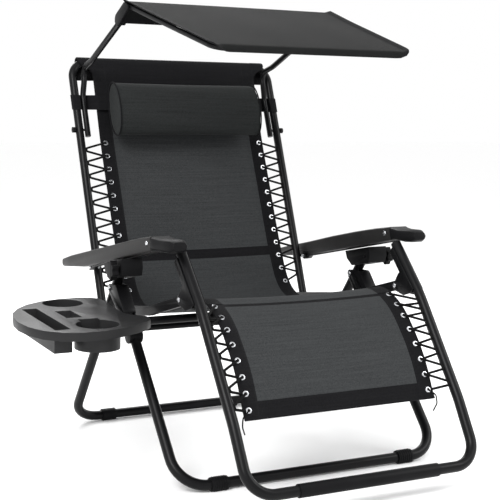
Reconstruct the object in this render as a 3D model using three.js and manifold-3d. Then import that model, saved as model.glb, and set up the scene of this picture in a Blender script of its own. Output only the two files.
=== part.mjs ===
// Zero gravity recliner with a canopy, a headrest pillow and a clip-on side tray.
// Millimetres, +Z up. The sitter faces -Y, so the sitter's left hand is at +X.
// Side views are given as [y, z] pairs in the chair's own plane, where y = 0 is at the knee
// bend of the foot frame. The whole chair is moved by CHAIR_SHIFT at the end, which puts the
// origin under the middle of the object's bounding box.
import * as THREE from 'three';
import { mergeVertices } from 'three/addons/utils/BufferGeometryUtils.js';
import Module from 'manifold-3d';

const wasm = await Module();
wasm.setup();

// ---- driving dimensions -------------------------------------------------------------------
const CHAIR_SHIFT = [124, -290.4, 0];
const GAP = 0.4;                     // clearance between touching pieces

const LEG_X = 351;                   // legs stand outside the seat frames
const LEG_R = 12.5;
const BACK_X = 306.5;
const BACK_R = 11;
const FOOT_X = 295.5;
const FOOT_R = 12.5;
const RAIL_X = [283.5, 294.5];       // flat-oval seat rail, between the two frames
const RAIL_HALF = 12;
const GROUND_Z = 15;                 // axis height of the two ground bars

// Pivots of the linkage, [y, z].
const LEG_PIVOT = [374, 418];
const LOCK_PIVOT = [335, 467];
const SEAT_PIVOT = [300, 343];
const KNEE_PIVOT = [84, 426.2];
const BACK_PIVOT = [582, 328.6];
const ARM_FRONT = [100, 541];        // open pivot of the four-bar linkage, inside the grip
const ARM_REAR = [598, 443.4];
const ARM_TILT = THREE.MathUtils.degToRad(11.1);

const BACK_TOP = [826, 985];         // axis of the back frame's top bar
const BACK_LEAN = 0.3745;            // back frame: rearward run for each unit of height
const BACK_CORNER = 45;
const BACK_FOOT_Z = 262;
const FOOT_BAR = [-244, 55];
const FRONT_BAR_Y = -9;
const REAR_BAR_Y = 692;
const STRUT_PIVOT_Z = 800;
const CANOPY_PIVOT = [499, 1081];
const RIDGE = [452, 1113];
const PILLOW = [709, 858];
const PILLOW_R = 76;                   // half its height; it is flattened to 46 front to back
const PILLOW_DEPTH = 46;
const SLING_HALF = 252;

const SIDES = [['right', -1], ['left', 1]];

// ---- materials ----------------------------------------------------------------------------
function finish(color, roughness, metalness = 0) {
  return new THREE.MeshStandardMaterial({ color, roughness, metalness });
}
const powder = () => finish(0x1c1c1e, 0.42, 0.3);
const greyPlastic = () => finish(0x4c4c4e, 0.55);
const blackPlastic = () => finish(0x1d1d1e, 0.6);
const textile = () => finish(0x36383a, 0.9);
const blackTextile = () => finish(0x1a1a1b, 0.92);
const canopyCloth = () => finish(0x2a2b2b, 0.88);
const zinc = () => finish(0xb9bbbd, 0.3, 0.9);
const elastic = () => finish(0x141414, 0.85);

const chair = new THREE.Group();
function add(name, geometry, material) {
  const mesh = new THREE.Mesh(geometry, material);
  mesh.name = name;
  chair.add(mesh);
}

// ---- shape helpers ------------------------------------------------------------------------
// A path of straight runs with round bends. Its points are used one by one as the steps of an
// extrusion, so straight runs cost a single step.
class BentPath extends THREE.Curve {
  constructor(corners, radii, bendSteps = 5) {
    super();
    this.points = [];
    this.tangents = [];
    const count = corners.length;
    for (let i = 0; i < count; i += 1) {
      const here = corners[i];
      const radius = Array.isArray(radii) ? radii[i] : radii;
      if (i === 0 || i === count - 1 || radius === 0) {
        this.points.push(here.clone());
        const before = corners[Math.max(i - 1, 0)];
        const after = corners[Math.min(i + 1, count - 1)];
        this.tangents.push(after.clone().sub(before).normalize());
        continue;
      }
      const inDir = here.clone().sub(corners[i - 1]).normalize();
      const outDir = corners[i + 1].clone().sub(here).normalize();
      const turn = inDir.angleTo(outDir);
      const setback = radius * Math.tan(turn / 2);
      const start = here.clone().addScaledVector(inDir, -setback);
      const toCentre = outDir.clone().addScaledVector(inDir, -inDir.dot(outDir)).normalize();
      const centre = start.clone().addScaledVector(toCentre, radius);
      for (let k = 0; k <= bendSteps; k += 1) {
        const a = (turn * k) / bendSteps;
        this.points.push(centre.clone()
          .addScaledVector(toCentre, -radius * Math.cos(a))
          .addScaledVector(inDir, radius * Math.sin(a)));
        this.tangents.push(inDir.clone().multiplyScalar(Math.cos(a))
          .addScaledVector(toCentre, Math.sin(a)));
      }
    }
  }

  getPointAt(t) {
    return this.points[Math.round(t * (this.points.length - 1))].clone();
  }

  getTangentAt(t) {
    return this.tangents[Math.round(t * (this.tangents.length - 1))].clone();
  }
}

function circle(centre, radius, sides = 16) {
  const points = [];
  for (let i = 0; i < sides; i += 1) {
    const a = (2 * Math.PI * (i + 0.5)) / sides;
    points.push([centre[0] + radius * Math.cos(a), centre[1] + radius * Math.sin(a)]);
  }
  return points;
}

function toShape(outline, holes = []) {
  const shape = new THREE.Shape(outline.map((p) => new THREE.Vector2(...p)));
  for (const hole of holes) {
    shape.holes.push(new THREE.Path(hole.map((p) => new THREE.Vector2(...p))));
  }
  return shape;
}

function tube(corners, radii, tubeRadius, sides = 12) {
  const path = new BentPath(corners.map((c) => new THREE.Vector3(...c)), radii);
  return new THREE.ExtrudeGeometry(toShape(circle([0, 0], tubeRadius, sides)), {
    steps: path.points.length - 1, extrudePath: path, bevelEnabled: false, curveSegments: 1,
  });
}

// A flat piece seen from the side: the outline is in [y, z], the thickness runs along X.
const SIDE_VIEW = new THREE.Matrix4().set(0, 0, 1, 0, 1, 0, 0, 0, 0, 1, 0, 0, 0, 0, 0, 1);
function plate(outline, x0, x1, holes = []) {
  const low = Math.min(x0, x1);
  const depth = Math.abs(x1 - x0);
  const geometry = new THREE.ExtrudeGeometry(toShape(outline, holes),
    { depth, bevelEnabled: false, curveSegments: 1 });
  return geometry.applyMatrix4(SIDE_VIEW).translate(low, 0, 0);
}
const rod = (centre, radius, x0, x1, sides = 12) => plate(circle(centre, radius, sides), x0, x1);

// Convex outline round a set of circles, for brackets that join two or three eyes.
function hullOf(...circles) {
  const points = circles.flatMap(([c, r]) => circle(c, r, 12)).sort((p, q) => p[0] - q[0] || p[1] - q[1]);
  const cross = (o, p, q) => (p[0] - o[0]) * (q[1] - o[1]) - (p[1] - o[1]) * (q[0] - o[0]);
  const half = (list) => {
    const chain = [];
    for (const p of list) {
      while (chain.length > 1 && cross(chain.at(-2), chain.at(-1), p) <= 0.01) chain.pop();
      chain.push(p);
    }
    chain.pop();
    return chain;
  };
  return [...half(points), ...half([...points].reverse())];
}

// A skin through a row of rings, each ring an equal number of points, closed at both ends.
function loft(rings) {
  const size = rings[0].length;
  const positions = rings.flat(2);
  const faces = [];
  for (let i = 0; i + 1 < rings.length; i += 1) {
    for (let k = 0; k < size; k += 1) {
      const a = i * size + k;
      const b = i * size + ((k + 1) % size);
      faces.push(a, b, b + size, a, b + size, a + size);
    }
  }
  const last = (rings.length - 1) * size;
  for (let k = 1; k + 1 < size; k += 1) {
    faces.push(0, k + 1, k, last, last + k, last + k + 1);
  }
  const geometry = new THREE.BufferGeometry();
  geometry.setAttribute('position', new THREE.Float32BufferAttribute(positions, 3));
  geometry.setIndex(faces);
  return geometry;
}

function toSolid(geometry) {
  const bare = geometry.clone();
  bare.deleteAttribute('normal');
  bare.deleteAttribute('uv');
  const merged = mergeVertices(bare, 1e-3);
  return new wasm.Manifold(new wasm.Mesh({
    numProp: 3,
    vertProperties: new Float32Array(merged.attributes.position.array),
    triVerts: new Uint32Array(merged.index.array),
  }));
}
function fromSolid(solid) {
  const mesh = solid.getMesh();
  const geometry = new THREE.BufferGeometry();
  geometry.setAttribute('position', new THREE.BufferAttribute(mesh.vertProperties, 3));
  geometry.setIndex(new THREE.BufferAttribute(mesh.triVerts, 1));
  return geometry;
}
const cut = (geometry, ...tools) =>
  fromSolid(tools.reduce((solid, tool) => solid.subtract(toSolid(tool)), toSolid(geometry)));
const join = (geometry, ...others) =>
  fromSolid(others.reduce((solid, other) => solid.add(toSolid(other)), toSolid(geometry)));

const backY = (z) => BACK_TOP[0] + (z - BACK_TOP[1]) * BACK_LEAN;

// A bolt along X with a round head at each end, drawn as one turned piece.
function bolt(centre, side, inner, outer, shank, head, headLength = 3) {
  const profile = [
    [0, inner - headLength], [head * 0.6, inner - headLength], [head, inner - 1], [head, inner],
    [shank, inner], [shank, outer], [head, outer], [head, outer + 1],
    [head * 0.6, outer + headLength], [0, outer + headLength],
  ].map(([r, x]) => new THREE.Vector2(r, x));
  const geometry = new THREE.LatheGeometry(profile, 10);
  geometry.rotateZ(-Math.PI / 2);
  if (side < 0) geometry.rotateY(Math.PI);
  return geometry.translate(0, centre[0], centre[1]);
}

// ---- legs ---------------------------------------------------------------------------------
const REAR_TOP_EXTRA = 8;            // rear leg runs on past the lock pivot by this much
function legFrame(top, barY, bend) {
  const corners = [[-LEG_X, ...top], [-LEG_X, barY, GROUND_Z], [LEG_X, barY, GROUND_Z], [LEG_X, ...top]];
  return tube(corners, bend, LEG_R);
}
const rearLean = (REAR_BAR_Y - LOCK_PIVOT[0]) / (LOCK_PIVOT[1] - GROUND_Z);
const rearTop = [LOCK_PIVOT[0] - REAR_TOP_EXTRA * rearLean * 0.8, LOCK_PIVOT[1] + REAR_TOP_EXTRA * 0.8];
const legBoltHole = rod(LEG_PIVOT, 4.4, -LEG_X - 20, LEG_X + 20);
add('rear_leg_frame', cut(legFrame(rearTop, REAR_BAR_Y, 70), legBoltHole), powder());

const FRONT_LEAN = 0.8735;
const FRONT_TOP_Z = 411;
const frontLegY = (z) => FRONT_BAR_Y + (z - GROUND_Z) * FRONT_LEAN;
add('front_leg_frame', legFrame([frontLegY(FRONT_TOP_Z), FRONT_TOP_Z], FRONT_BAR_Y, 75), powder());

const FOOT_SLEEVE_R = 16.6;
// Plastic sleeves on the ground bars, each with a flat underside at the floor.
function foot(x, barY, length) {
  const outer = [];
  const low = Math.asin(GROUND_Z / FOOT_SLEEVE_R);
  for (let i = 0; i <= 14; i += 1) {
    const a = -low + ((Math.PI + 2 * low) * i) / 14;
    outer.push([barY + FOOT_SLEEVE_R * Math.cos(a), GROUND_Z + FOOT_SLEEVE_R * Math.sin(a)]);
  }
  return plate(outer, x - length / 2, x + length / 2, [circle([barY, GROUND_Z], LEG_R + 0.9, 12)]);
}
for (const [name, side] of SIDES) {
  add(`rear_foot_${name}`, foot(side * 250, REAR_BAR_Y, 38), blackPlastic());
  add(`front_foot_${name}`, foot(side * 253, FRONT_BAR_Y, 42), blackPlastic());

  // Steel saddle over the top of the front leg, pinned to the rear leg.
  const legDown = (d) => [frontLegY(FRONT_TOP_Z - d), FRONT_TOP_Z - d];
  const across = (p, d) => [p[0] - 0.753 * d, p[1] + 0.658 * d];
  const shell = hullOf([LEG_PIVOT, 11], [legDown(-3), 16], [legDown(44), 16]);
  const room = [across(legDown(60), -40), across(legDown(60), LEG_R + GAP),
    across(legDown(-12), LEG_R + GAP), across(legDown(-70), LEG_R + GAP), across(legDown(-70), -40)];
  const hollow = plate(room.reverse(), side * (LEG_X - LEG_R - 0.8), side * (LEG_X + LEG_R + 0.8));
  const saddle = plate(shell, side * (LEG_X - LEG_R - 3.8), side * (LEG_X + LEG_R + 3.8),
    [circle(LEG_PIVOT, 4.4, 12)]);
  add(`leg_bracket_${name}`, cut(saddle, hollow), powder());
  add(`leg_bolt_${name}`, bolt(LEG_PIVOT, side, 330.1, 367.9, 4, 7), zinc());

  // Hanger plate that carries the seat's pivot tube.
  add(`seat_hanger_${name}`, plate(hullOf([LEG_PIVOT, 11], [SEAT_PIVOT, 17]),
    side * 330.4, side * 333.4, [circle(LEG_PIVOT, 4.4, 12), circle(SEAT_PIVOT, 10.4, 12)]), powder());
}

// ---- seat link ----------------------------------------------------------------------------
// The rails dip a little behind the knee pivot and then run on to the back frame.
const RAIL_DIP = [300, 367];
function strip(line, half) {
  const left = [];
  const right = [];
  line.forEach((p, i) => {
    const before = line[Math.max(i - 1, 0)];
    const after = line[Math.min(i + 1, line.length - 1)];
    const length = Math.hypot(after[0] - before[0], after[1] - before[1]);
    const normal = [-(after[1] - before[1]) / length, (after[0] - before[0]) / length];
    left.push([p[0] + normal[0] * half, p[1] + normal[1] * half]);
    right.push([p[0] - normal[0] * half, p[1] - normal[1] * half]);
  });
  return [...right, ...left.reverse()];
}
const railLine = [[74, 428.8], KNEE_PIVOT, RAIL_DIP, BACK_PIVOT, [592, 327.3]];
for (const [name, side] of SIDES) {
  add(`seat_rail_${name}`, plate(strip(railLine, RAIL_HALF), side * RAIL_X[0], side * RAIL_X[1],
    [circle(KNEE_PIVOT, 3.9, 10), circle(BACK_PIVOT, 3.9, 10)]), powder());
  add(`back_bolt_${name}`, bolt(BACK_PIVOT, side, RAIL_X[0] - GAP, BACK_X + BACK_R + GAP, 3.5, 6), zinc());
}
add('seat_pivot_tube', rod(SEAT_PIVOT, 10, -333.8, 333.8, 14), powder());

// ---- back frame ---------------------------------------------------------------------------
const boltHole = (centre, side, radius = 3.9) => rod(centre, radius, side * 270, side * 330, 10);
const strutPivot = [backY(STRUT_PIVOT_Z), STRUT_PIVOT_Z];
const backTube = tube([
  [-BACK_X, backY(BACK_FOOT_Z), BACK_FOOT_Z], [-BACK_X, ...BACK_TOP],
  [BACK_X, ...BACK_TOP], [BACK_X, backY(BACK_FOOT_Z), BACK_FOOT_Z],
], BACK_CORNER, BACK_R);
const ears = SIDES.map(([, side]) => plate(hullOf([ARM_REAR, 9], [[backY(443) - 4, 443], 7]),
  side * (BACK_X + 6), side * 321));
add('back_frame', cut(join(backTube, ...ears),
  ...SIDES.flatMap(([, side]) => [boltHole(BACK_PIVOT, side), boltHole(ARM_REAR, side),
    boltHole(strutPivot, side)])), powder());
add('back_lower_bar', rod([backY(BACK_FOOT_Z + 14), BACK_FOOT_Z + 14], 9,
  -(BACK_X - BACK_R - GAP), BACK_X - BACK_R - GAP), powder());

// ---- foot frame ---------------------------------------------------------------------------
const FOOT_TOP = [102, 522];
const FOOT_KNEE = [-3, 412];
const FOOT_SHIN = [-165, 190];
const BAR_JOINT = 8;
for (const [name, side] of SIDES) {
  const x = side * FOOT_X;
  add(`foot_tube_${name}`, tube([[x, ...FOOT_TOP], [x, ...FOOT_KNEE], [x, ...FOOT_SHIN],
    [x, ...FOOT_BAR], [side * BAR_JOINT, ...FOOT_BAR]], [0, 300, 300, 62, 0], FOOT_R), powder());

  // Channel behind the upper tube, with cheeks that reach back to the knee pivot.
  const along = [FOOT_TOP[0] - FOOT_KNEE[0], FOOT_TOP[1] - FOOT_KNEE[1]];
  const length = Math.hypot(...along);
  const dir = along.map((v) => v / length);
  const at = (s, d) => [FOOT_KNEE[0] + dir[0] * s + dir[1] * d, FOOT_KNEE[1] + dir[1] * s - dir[0] * d];
  const cheek = [at(18, -3), at(18, 16), at(30, 40), [KNEE_PIVOT[0] + 3, KNEE_PIVOT[1] - 12],
    [KNEE_PIVOT[0] + 11, KNEE_PIVOT[1] - 3], [KNEE_PIVOT[0] + 9, KNEE_PIVOT[1] + 8],
    [KNEE_PIVOT[0], KNEE_PIVOT[1] + 12], at(84, 24), at(84, 16), at(length - 3, 16), at(length - 3, -3)];
  const inside = [at(-20, -30), at(-20, FOOT_R + GAP), at(length + 40, FOOT_R + GAP), at(length + 40, -30)];
  const behind = [at(-20, 16.5), at(-20, 90), at(length + 40, 90), at(length + 40, 16.5)];
  const reach = FOOT_R + 0.5;
  const rooms = [inside, behind].map((o) => plate(o, x - reach, x + reach));
  const block = plate(cheek, x - reach - 2.8, x + reach + 2.8, [circle(KNEE_PIVOT, 3.9, 10)]);
  add(`knee_bracket_${name}`, cut(block, ...rooms), powder());
  const boltEnds = [FOOT_X - reach - 3.2, FOOT_X + reach + 3.2];
  add(`knee_bolt_${name}`, bolt(KNEE_PIVOT, side, ...boltEnds, 3.5, 6), zinc());
}
const sleeveRing = [circle(FOOT_BAR, FOOT_R + GAP, 12)];
add('foot_sleeve', plate(circle(FOOT_BAR, 15.5, 16), -181, 181, sleeveRing), blackPlastic());

// ---- arms ---------------------------------------------------------------------------------
// u runs rearward along the arm from its front pivot, n is square to it and points up.
function onArm(u, n) {
  const c = Math.cos(ARM_TILT);
  const s = Math.sin(ARM_TILT);
  return [ARM_FRONT[0] + u * c + n * s, ARM_FRONT[1] - u * s + n * c];
}
const ARM_OUT = 358;
const ARM_RAIL_X = [322, 335];
// Rounded-rectangle ring across the arm at one station, for one side of the chair.
function armRing(side, [u, low, high, inner, outer], round) {
  const ring = [];
  const corners = [[inner, low, 180], [outer, low, 270], [outer, high, 0], [inner, high, 90]];
  for (const [x, n, start] of corners) {
    const cx = x === inner ? x + round : x - round;
    const cn = n === low ? n + round : n - round;
    for (const step of [0, 45, 90]) {
      const a = THREE.MathUtils.degToRad(start + step);
      ring.push([side * (cx + round * Math.cos(a)), ...onArm(u, cn + round * Math.sin(a))]);
    }
  }
  return ring;
}
// Ring orders that keep the skin's faces outward on both sides of the chair.
const facing = (side, rings) => (side > 0 ? rings : rings.map((ring) => [...ring].reverse()));
const ARM_STATIONS = [
  [40, -1, 34, 300, ARM_OUT], [110, -1, 37.5, 300, ARM_OUT], [200, -1, 39.5, 301, ARM_OUT], [330, -1, 40, 306, ARM_OUT],
  [500, 0, 39, 322.5, ARM_OUT], [600, 8, 39, 323, ARM_OUT - 1], [675, 15, 37, 324, ARM_OUT - 4],
  [694, 20, 33, 330, ARM_OUT - 10],
];
const GRIP_STATIONS = [
  [39.5, -1, 33.5, 300, ARM_OUT], [24, -1, 29, 300, ARM_OUT - 1], [6, -5, 24, 300, ARM_OUT - 4],
  [-14, -10, 21, 301, ARM_OUT - 7], [-40, -13, 17, 303, ARM_OUT - 10], [-55, -9, 9.5, 308, ARM_OUT - 15],
];
const ARM_RIVET = onArm(57, 20);
for (const [name, side] of SIDES) {
  const railOutline = [[-14, -2.9], [486, -2.9], [496, -9], [518, -9], [518, 9], [508, 13], [-14, 13]];
  add(`arm_rail_${name}`, plate(railOutline.reverse().map((p) => onArm(...p)),
    side * ARM_RAIL_X[0], side * ARM_RAIL_X[1], [circle(ARM_REAR, 3.9, 10)]), powder());

  const groove = plate([[-16, -40], [-16, 13.4], [520, 13.4], [520, -40]].map((p) => onArm(...p)),
    side * (ARM_RAIL_X[0] - GAP), side * (ARM_RAIL_X[1] + GAP));
  const notch = plate(hullOf([ARM_REAR, 12]), side * (ARM_RAIL_X[0] - 6), side * (ARM_RAIL_X[1] + 6));
  const rivetHole = rod(ARM_RIVET, 3.3, side * 280, side * 370, 10);
  const cushion = loft(facing(side, ARM_STATIONS.map((s) => armRing(side, s, 6)).reverse()));
  add(`armrest_${name}`, cut(cushion, groove, notch, rivetHole), greyPlastic());
  const grip = loft(facing(side, GRIP_STATIONS.map((s) => armRing(side, s, 9))));
  const fingerStep = rod(onArm(-22, -29), 15, side * 280, side * 380, 20);
  add(`arm_grip_${name}`, cut(grip, groove, fingerStep), blackPlastic());
  add(`arm_rivet_${name}`, bolt(ARM_RIVET, side, 297.2, ARM_OUT + GAP, 2.9, 6, 2.5), zinc());
  add(`arm_bolt_${name}`, bolt(ARM_REAR, side, 311.6, ARM_RAIL_X[1] + GAP, 3.5, 5.5), zinc());
}

// ---- locks --------------------------------------------------------------------------------
// A forked housing straddles each rear leg's top and the arm rail slides over it.
function onLock(u, n) {
  const c = Math.cos(ARM_TILT);
  const s = Math.sin(ARM_TILT);
  return [LOCK_PIVOT[0] + u * c + n * s, LOCK_PIVOT[1] - u * s + n * c];
}
const KNOB_AXIS = onLock(-46, -2);
const HOUSING_X = [322.8, 378];
for (const [name, side] of SIDES) {
  const outline = [[-70, 22], [-70, 0], [-60, -20], [22, -20], [44, 2], [48, 22]].map((p) => onLock(...p));
  const body = plate(outline, side * HOUSING_X[0], side * HOUSING_X[1], [circle(KNOB_AXIS, 4.5, 10)]);
  const slot = plate([[-26, -40], [60, -40], [60, 17], [-26, 17]].map((p) => onLock(...p)),
    side * (LEG_X - LEG_R - 1.8), side * (LEG_X + LEG_R + 1.8));
  add(`lock_housing_${name}`, cut(body, slot), blackPlastic());

  const star = [];
  for (let i = 0; i < 42; i += 1) {
    const a = (2 * Math.PI * i) / 42;
    const r = 21.5 + 3 * Math.cos(7 * a);
    star.push([KNOB_AXIS[0] + r * Math.cos(a), KNOB_AXIS[1] + r * Math.sin(a)]);
  }
  const handle = plate(star, side * (HOUSING_X[1] + 6), side * (HOUSING_X[1] + 22));
  const collar = rod(KNOB_AXIS, 10, side * (HOUSING_X[1] + GAP), side * (HOUSING_X[1] + 7), 14);
  const shank = rod(KNOB_AXIS, 4, side * 321, side * (HOUSING_X[1] + 2), 10);
  add(`lock_knob_${name}`, join(handle, collar, shank), greyPlastic());
}

// ---- canopy -------------------------------------------------------------------------------
const STRUT_R = 8;
const CANOPY_SLOPE = 0.285;
for (const [name, side] of SIDES) {
  const bent = tube([
    [side * 284, backY(782), 782], [side * 284, backY(893), 893], [side * 279, backY(940) - 17, 940],
    [side * 279, backY(970) - 17, 968], [side * 280, 733, 986],
    [side * 284, CANOPY_PIVOT[0] + 8, CANOPY_PIVOT[1] - 3],
  ], [0, 60, 60, 24, 150, 0], STRUT_R, 10);
  const eye = rod(CANOPY_PIVOT, 14, side * 277, side * 289.5, 14);
  const pin = rod(strutPivot, 3.5, side * 284, side * 328, 10);
  const head = rod(strutPivot, 8, side * (BACK_X + BACK_R + GAP), side * 327, 12);
  add(`canopy_strut_${name}`, join(bent, eye, pin, head), powder());
  add(`canopy_hub_${name}`, plate(hullOf([CANOPY_PIVOT, 17], [RIDGE, 8], [[436, 1107], 8]),
    side * 292.6, side * 298), blackPlastic());
}
add('canopy_ridge_bar', rod(RIDGE, 6, -292.2, 292.2, 10), powder());
const bowZ = (y) => 1108 - (436 - y) * CANOPY_SLOPE;
add('canopy_front_bow', tube([[-286, 436, bowZ(436)], [-252, 26, bowZ(26)], [252, 26, bowZ(26)],
  [286, 436, bowZ(436)]], 34, 6, 10), powder());

// A sheet of cloth with thickness, drawn as a strip along its side view.
function sheet(line, widths, thick) {
  const rings = line.map((p, i) => {
    const before = line[Math.max(i - 1, 0)];
    const after = line[Math.min(i + 1, line.length - 1)];
    const length = Math.hypot(after[0] - before[0], after[1] - before[1]);
    const dy = (-(after[1] - before[1]) / length) * (thick / 2);
    const dz = ((after[0] - before[0]) / length) * (thick / 2);
    const w = Array.isArray(widths) ? widths[i] : widths;
    return [[-w, p[0] + dy, p[1] + dz], [w, p[0] + dy, p[1] + dz],
      [w, p[0] - dy, p[1] - dz], [-w, p[0] - dy, p[1] - dz]];
  });
  return loft(rings);
}
const canopyLine = [[483, 1071], [476, 1100], [466, 1117], [452, 1122.5], [436, 1118.6]];
for (const y of [330, 225, 120]) canopyLine.push([y, bowZ(y) + 9]);
canopyLine.push([30, bowZ(30) + 8.6], [19, bowZ(23) + 6], [16, bowZ(18) - 6]);
const canopyWidths = canopyLine.map(([y]) => (y > 430 ? 291.6 : 300 - ((430 - y) / 420) * 34));
add('canopy_fabric', sheet(canopyLine, canopyWidths, 2.4), canopyCloth());

// ---- sling --------------------------------------------------------------------------------
// The back panel hooks over the top bar, hangs just in front of the side tubes and ends above
// the back pivot. The seat panel is loose between the frames. The leg panel hangs off the knees.
const SLING_THICK = 2.4;
const backDir = [0.3507, 0.9365];
const wrap = [];
for (let i = 0; i <= 6; i += 1) {
  const a = THREE.MathUtils.degToRad(-20.5 + 30 * i);
  wrap.push([BACK_TOP[0] + 13 * Math.cos(a), BACK_TOP[1] + 13 * Math.sin(a)]);
}
const pocketEnd = [wrap[0][0] - 48 * backDir[0], wrap[0][1] - 48 * backDir[1]];
const backLine = [pocketEnd, ...wrap, [backY(935) - 13, 935]];
for (const [z, off] of [[880, -9], [766, -3], [640, -6], [540, -8], [470, -11], [424, -17]]) {
  backLine.push([backY(z) + off, z]);
}
add('sling_back', sheet(backLine, SLING_HALF, SLING_THICK), textile());
const seatLine = [[598, 421], [577, 387], [548, 360], [510, 345], [460, 339], [400, 344], [340, 358],
  [300, 370], [240, 386], [180, 403], [130, 416], [95, 421], [58.5, 414]];
add('sling_seat', sheet(seatLine, SLING_HALF, SLING_THICK), textile());
const legLine = [[57, 413], [18, 393], [-13, 368.5], [-41, 338], [-67, 306.7], [-89, 274],
  [-106.5, 240.6], [-122.3, 206], [-133, 188]];
add('sling_leg', sheet(legLine, SLING_HALF, SLING_THICK), textile());

// ---- lacing -------------------------------------------------------------------------------
// Each elastic cord zigzags from eyelet to frame tube, just clear of both.
const CORD_R = 2;
const EYELET_X = 238;
function lacing(side, eyelets, anchors) {
  const points = [];
  eyelets.forEach((eyelet, i) => {
    points.push([side * EYELET_X, ...eyelet]);
    if (i + 1 < eyelets.length) points.push([side * anchors[i][0], anchors[i][1], anchors[i][2]]);
  });
  return tube(points, 0, CORD_R, 6);
}
const BACK_EYELETS = 10;
const backPanel = [...backLine.slice(wrap.length + 1), ...seatLine].filter(([, z]) => z > 350);
function panelY(z) {
  const i = backPanel.findIndex(([, low]) => low <= z);
  const [[y1, z1], [y2, z2]] = [backPanel[i - 1], backPanel[i]];
  return y1 + ((y2 - y1) * (z - z1)) / (z2 - z1);
}
const backZ = (i) => 764 - 35.2 * i;
const backEyelets = Array.from({ length: BACK_EYELETS }, (_, i) => [panelY(backZ(i)) - 4.6, backZ(i)]);
const backAnchors = Array.from({ length: BACK_EYELETS - 1 }, (_, i) => {
  const z = backZ(i + 0.5);
  return [297, Math.min(backY(z) - 13.5, panelY(z) - 4.6), z];
});
const legEyelets = [[54, 419], [20, 399], [-15, 374], [-45, 342], [-71, 310.5], [-93.5, 277], [-111, 243],
  [-127, 208]];
const legAnchors = [[276, 20, 412], [276, -8, 388], [279, -26, 362], [279, -50, 334], [279, -74, 301],
  [279, -96, 268], [279, -117, 234]];
for (const [name, side] of SIDES) {
  add(`lace_back_${name}`, lacing(side, backEyelets, backAnchors), elastic());
  add(`lace_leg_${name}`, lacing(side, legEyelets, legAnchors), elastic());
}

// ---- headrest -----------------------------------------------------------------------------
const pillowProfile = [[0, -220], [66, -220], [73, -213], [PILLOW_R, -195], [PILLOW_R, 195], [73, 213],
  [66, 220], [0, 220]].map(([r, x]) => new THREE.Vector2(r, x));
const pillow = new THREE.LatheGeometry(pillowProfile, 20).rotateZ(-Math.PI / 2)
  .scale(1, PILLOW_DEPTH / PILLOW_R, 1).rotateX(-Math.atan(BACK_LEAN));
const PILLOW_SHIFT = -8;               // it has slid a little to one side on its strap
add('headrest_pillow', pillow.translate(PILLOW_SHIFT, ...PILLOW), blackTextile());
const strapLine = [[backY(895) - 17.5, 895], [backY(855) - 17.5, 855]];
add('pillow_strap', sheet(strapLine, 270, 2), blackTextile());

// ---- side tray ----------------------------------------------------------------------------
const TRAY_THICK = 20;
const TRAY_SLOPE = Math.atan(0.037);
const TRAY_ORIGIN = [-500, 250, 359.7];
// Plan outlines as [x, y] in the chair's own coordinates; the inner edge is cut back for the leg.
const TRAY_OUTLINE = [[-350, 168], [-356, 142], [-376, 118], [-410, 94], [-452, 72], [-500, 59], [-550, 58],
  [-592, 74], [-624, 108], [-642, 155], [-648, 210], [-643, 265], [-630, 315], [-604, 362], [-570, 402],
  [-525, 432], [-475, 447], [-425, 449], [-394, 440], [-378, 420], [-376, 390], [-380, 350], [-386, 290],
  [-387, 240], [-382, 212], [-366, 196], [-353, 184]];
const CUP_CENTRES = [[-489, 132], [-482, 393]];
const CUP_R = 49.5;
const CUP_DEPTH = 34;
const SLOT = { x: [-598, -562], y: [102, 350] };
const PHONE_SLOT = { x: [-532, -494], y: [218, 303] };
const inTray = ([x, y]) => [x - TRAY_ORIGIN[0], y - TRAY_ORIGIN[1]];
const tiltTray = (geometry) => geometry.rotateX(TRAY_SLOPE).translate(...TRAY_ORIGIN);
function trayBox({ x, y }, margin, z0, z1) {
  const size = [x[1] - x[0] + 2 * margin, y[1] - y[0] + 2 * margin, z1 - z0];
  const centre = inTray([(x[0] + x[1]) / 2, (y[0] + y[1]) / 2]);
  return new THREE.BoxGeometry(...size).translate(...centre, (z0 + z1) / 2);
}
const trayPlate = new THREE.ExtrudeGeometry(toShape(TRAY_OUTLINE.map(inTray)),
  { depth: TRAY_THICK, bevelEnabled: false, curveSegments: 1 });
const upright = (radius, z0, z1, centre) => new THREE.CylinderGeometry(radius, radius, z1 - z0, 24)
  .rotateX(Math.PI / 2).translate(...inTray(centre), (z0 + z1) / 2);
const wells = CUP_CENTRES.map((c) => upright(CUP_R + 2.6, -CUP_DEPTH, 4, c));
const wellRooms = CUP_CENTRES.map((c) => upright(CUP_R, -CUP_DEPTH + 2.6, 30, c));
const pocket = trayBox(SLOT, 2.6, -32, 4);
const MUG_NOTCH = { x: [-514, -466], y: [150, 196] };
const notchPocket = trayBox(MUG_NOTCH, 2.6, -14, 4);
add('side_tray', tiltTray(cut(join(trayPlate, ...wells, pocket, notchPocket), ...wellRooms,
  trayBox(SLOT, 0, -29.4, 30), trayBox(PHONE_SLOT, 0, -10, 30), trayBox(MUG_NOTCH, 0, -11.4, 30))),
greyPlastic());

// Clamp on the sitter's right front leg, with a shelf under the tray.
const CLAMP_Z = 318;
const clampAt = (z) => [frontLegY(z), z];
const clampBlock = plate(hullOf([clampAt(CLAMP_Z), 19], [clampAt(344), 11]), -LEG_X - 16.6, -LEG_X + 16.6);
const shelf = tiltTray(trayBox({ x: [-432, -358], y: [242, 276] }, 0, -8.4, -GAP));
const legRun = tube([[-LEG_X, ...clampAt(250)], [-LEG_X, ...clampAt(405)]], 0, LEG_R + GAP);
add('tray_bracket', cut(join(clampBlock, shelf), legRun), blackPlastic());

chair.position.set(...CHAIR_SHIFT);
const recliner = new THREE.Group();
recliner.name = 'recliner';
recliner.add(chair);
export default recliner;
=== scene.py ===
# Zero gravity recliner: a folding steel tube chair with a laced sling, a headrest bolster, a
# canopy and a clip-on side tray. Sizes are written in millimetres in the chair's own plane.
import math

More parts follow.
